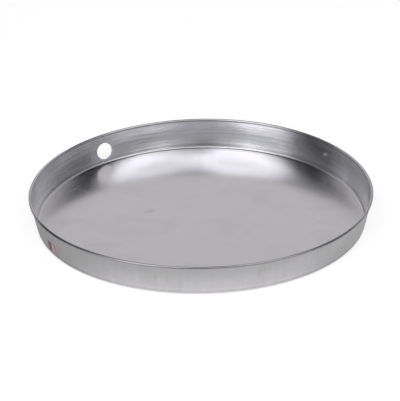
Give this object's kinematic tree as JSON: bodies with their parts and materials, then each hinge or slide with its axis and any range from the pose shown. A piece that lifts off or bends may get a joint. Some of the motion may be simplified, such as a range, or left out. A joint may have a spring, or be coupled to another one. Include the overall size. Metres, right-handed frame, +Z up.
{
  "type": "drain pan",
  "caption": "Round shallow sheet-steel drain pan: flat floor, rounded corner, low flared wall, rim rolled outwards over a wire, and a side outlet hole.",
  "frame": {"origin": "centre of the underside of the floor, on the surface that the pan stands on", "axes": "+Z up along the pan's axis, +Y towards the outlet hole in the wall"},
  "size_m": [0.6604, 0.6604, 0.0635],
  "materials": {
    "zinc_sheet": "satin zinc-coated sheet, faint rolling grain and draw marks",
    "wire_steel": "plain drawn steel wire",
    "label_film": "satin adhesive label, no print"
  },
  "bodies": {
    "root": {"pan_shell": "zinc_sheet", "rim_wire": "wire_steel", "label": "label_film"}
  },
  "joints": []
}
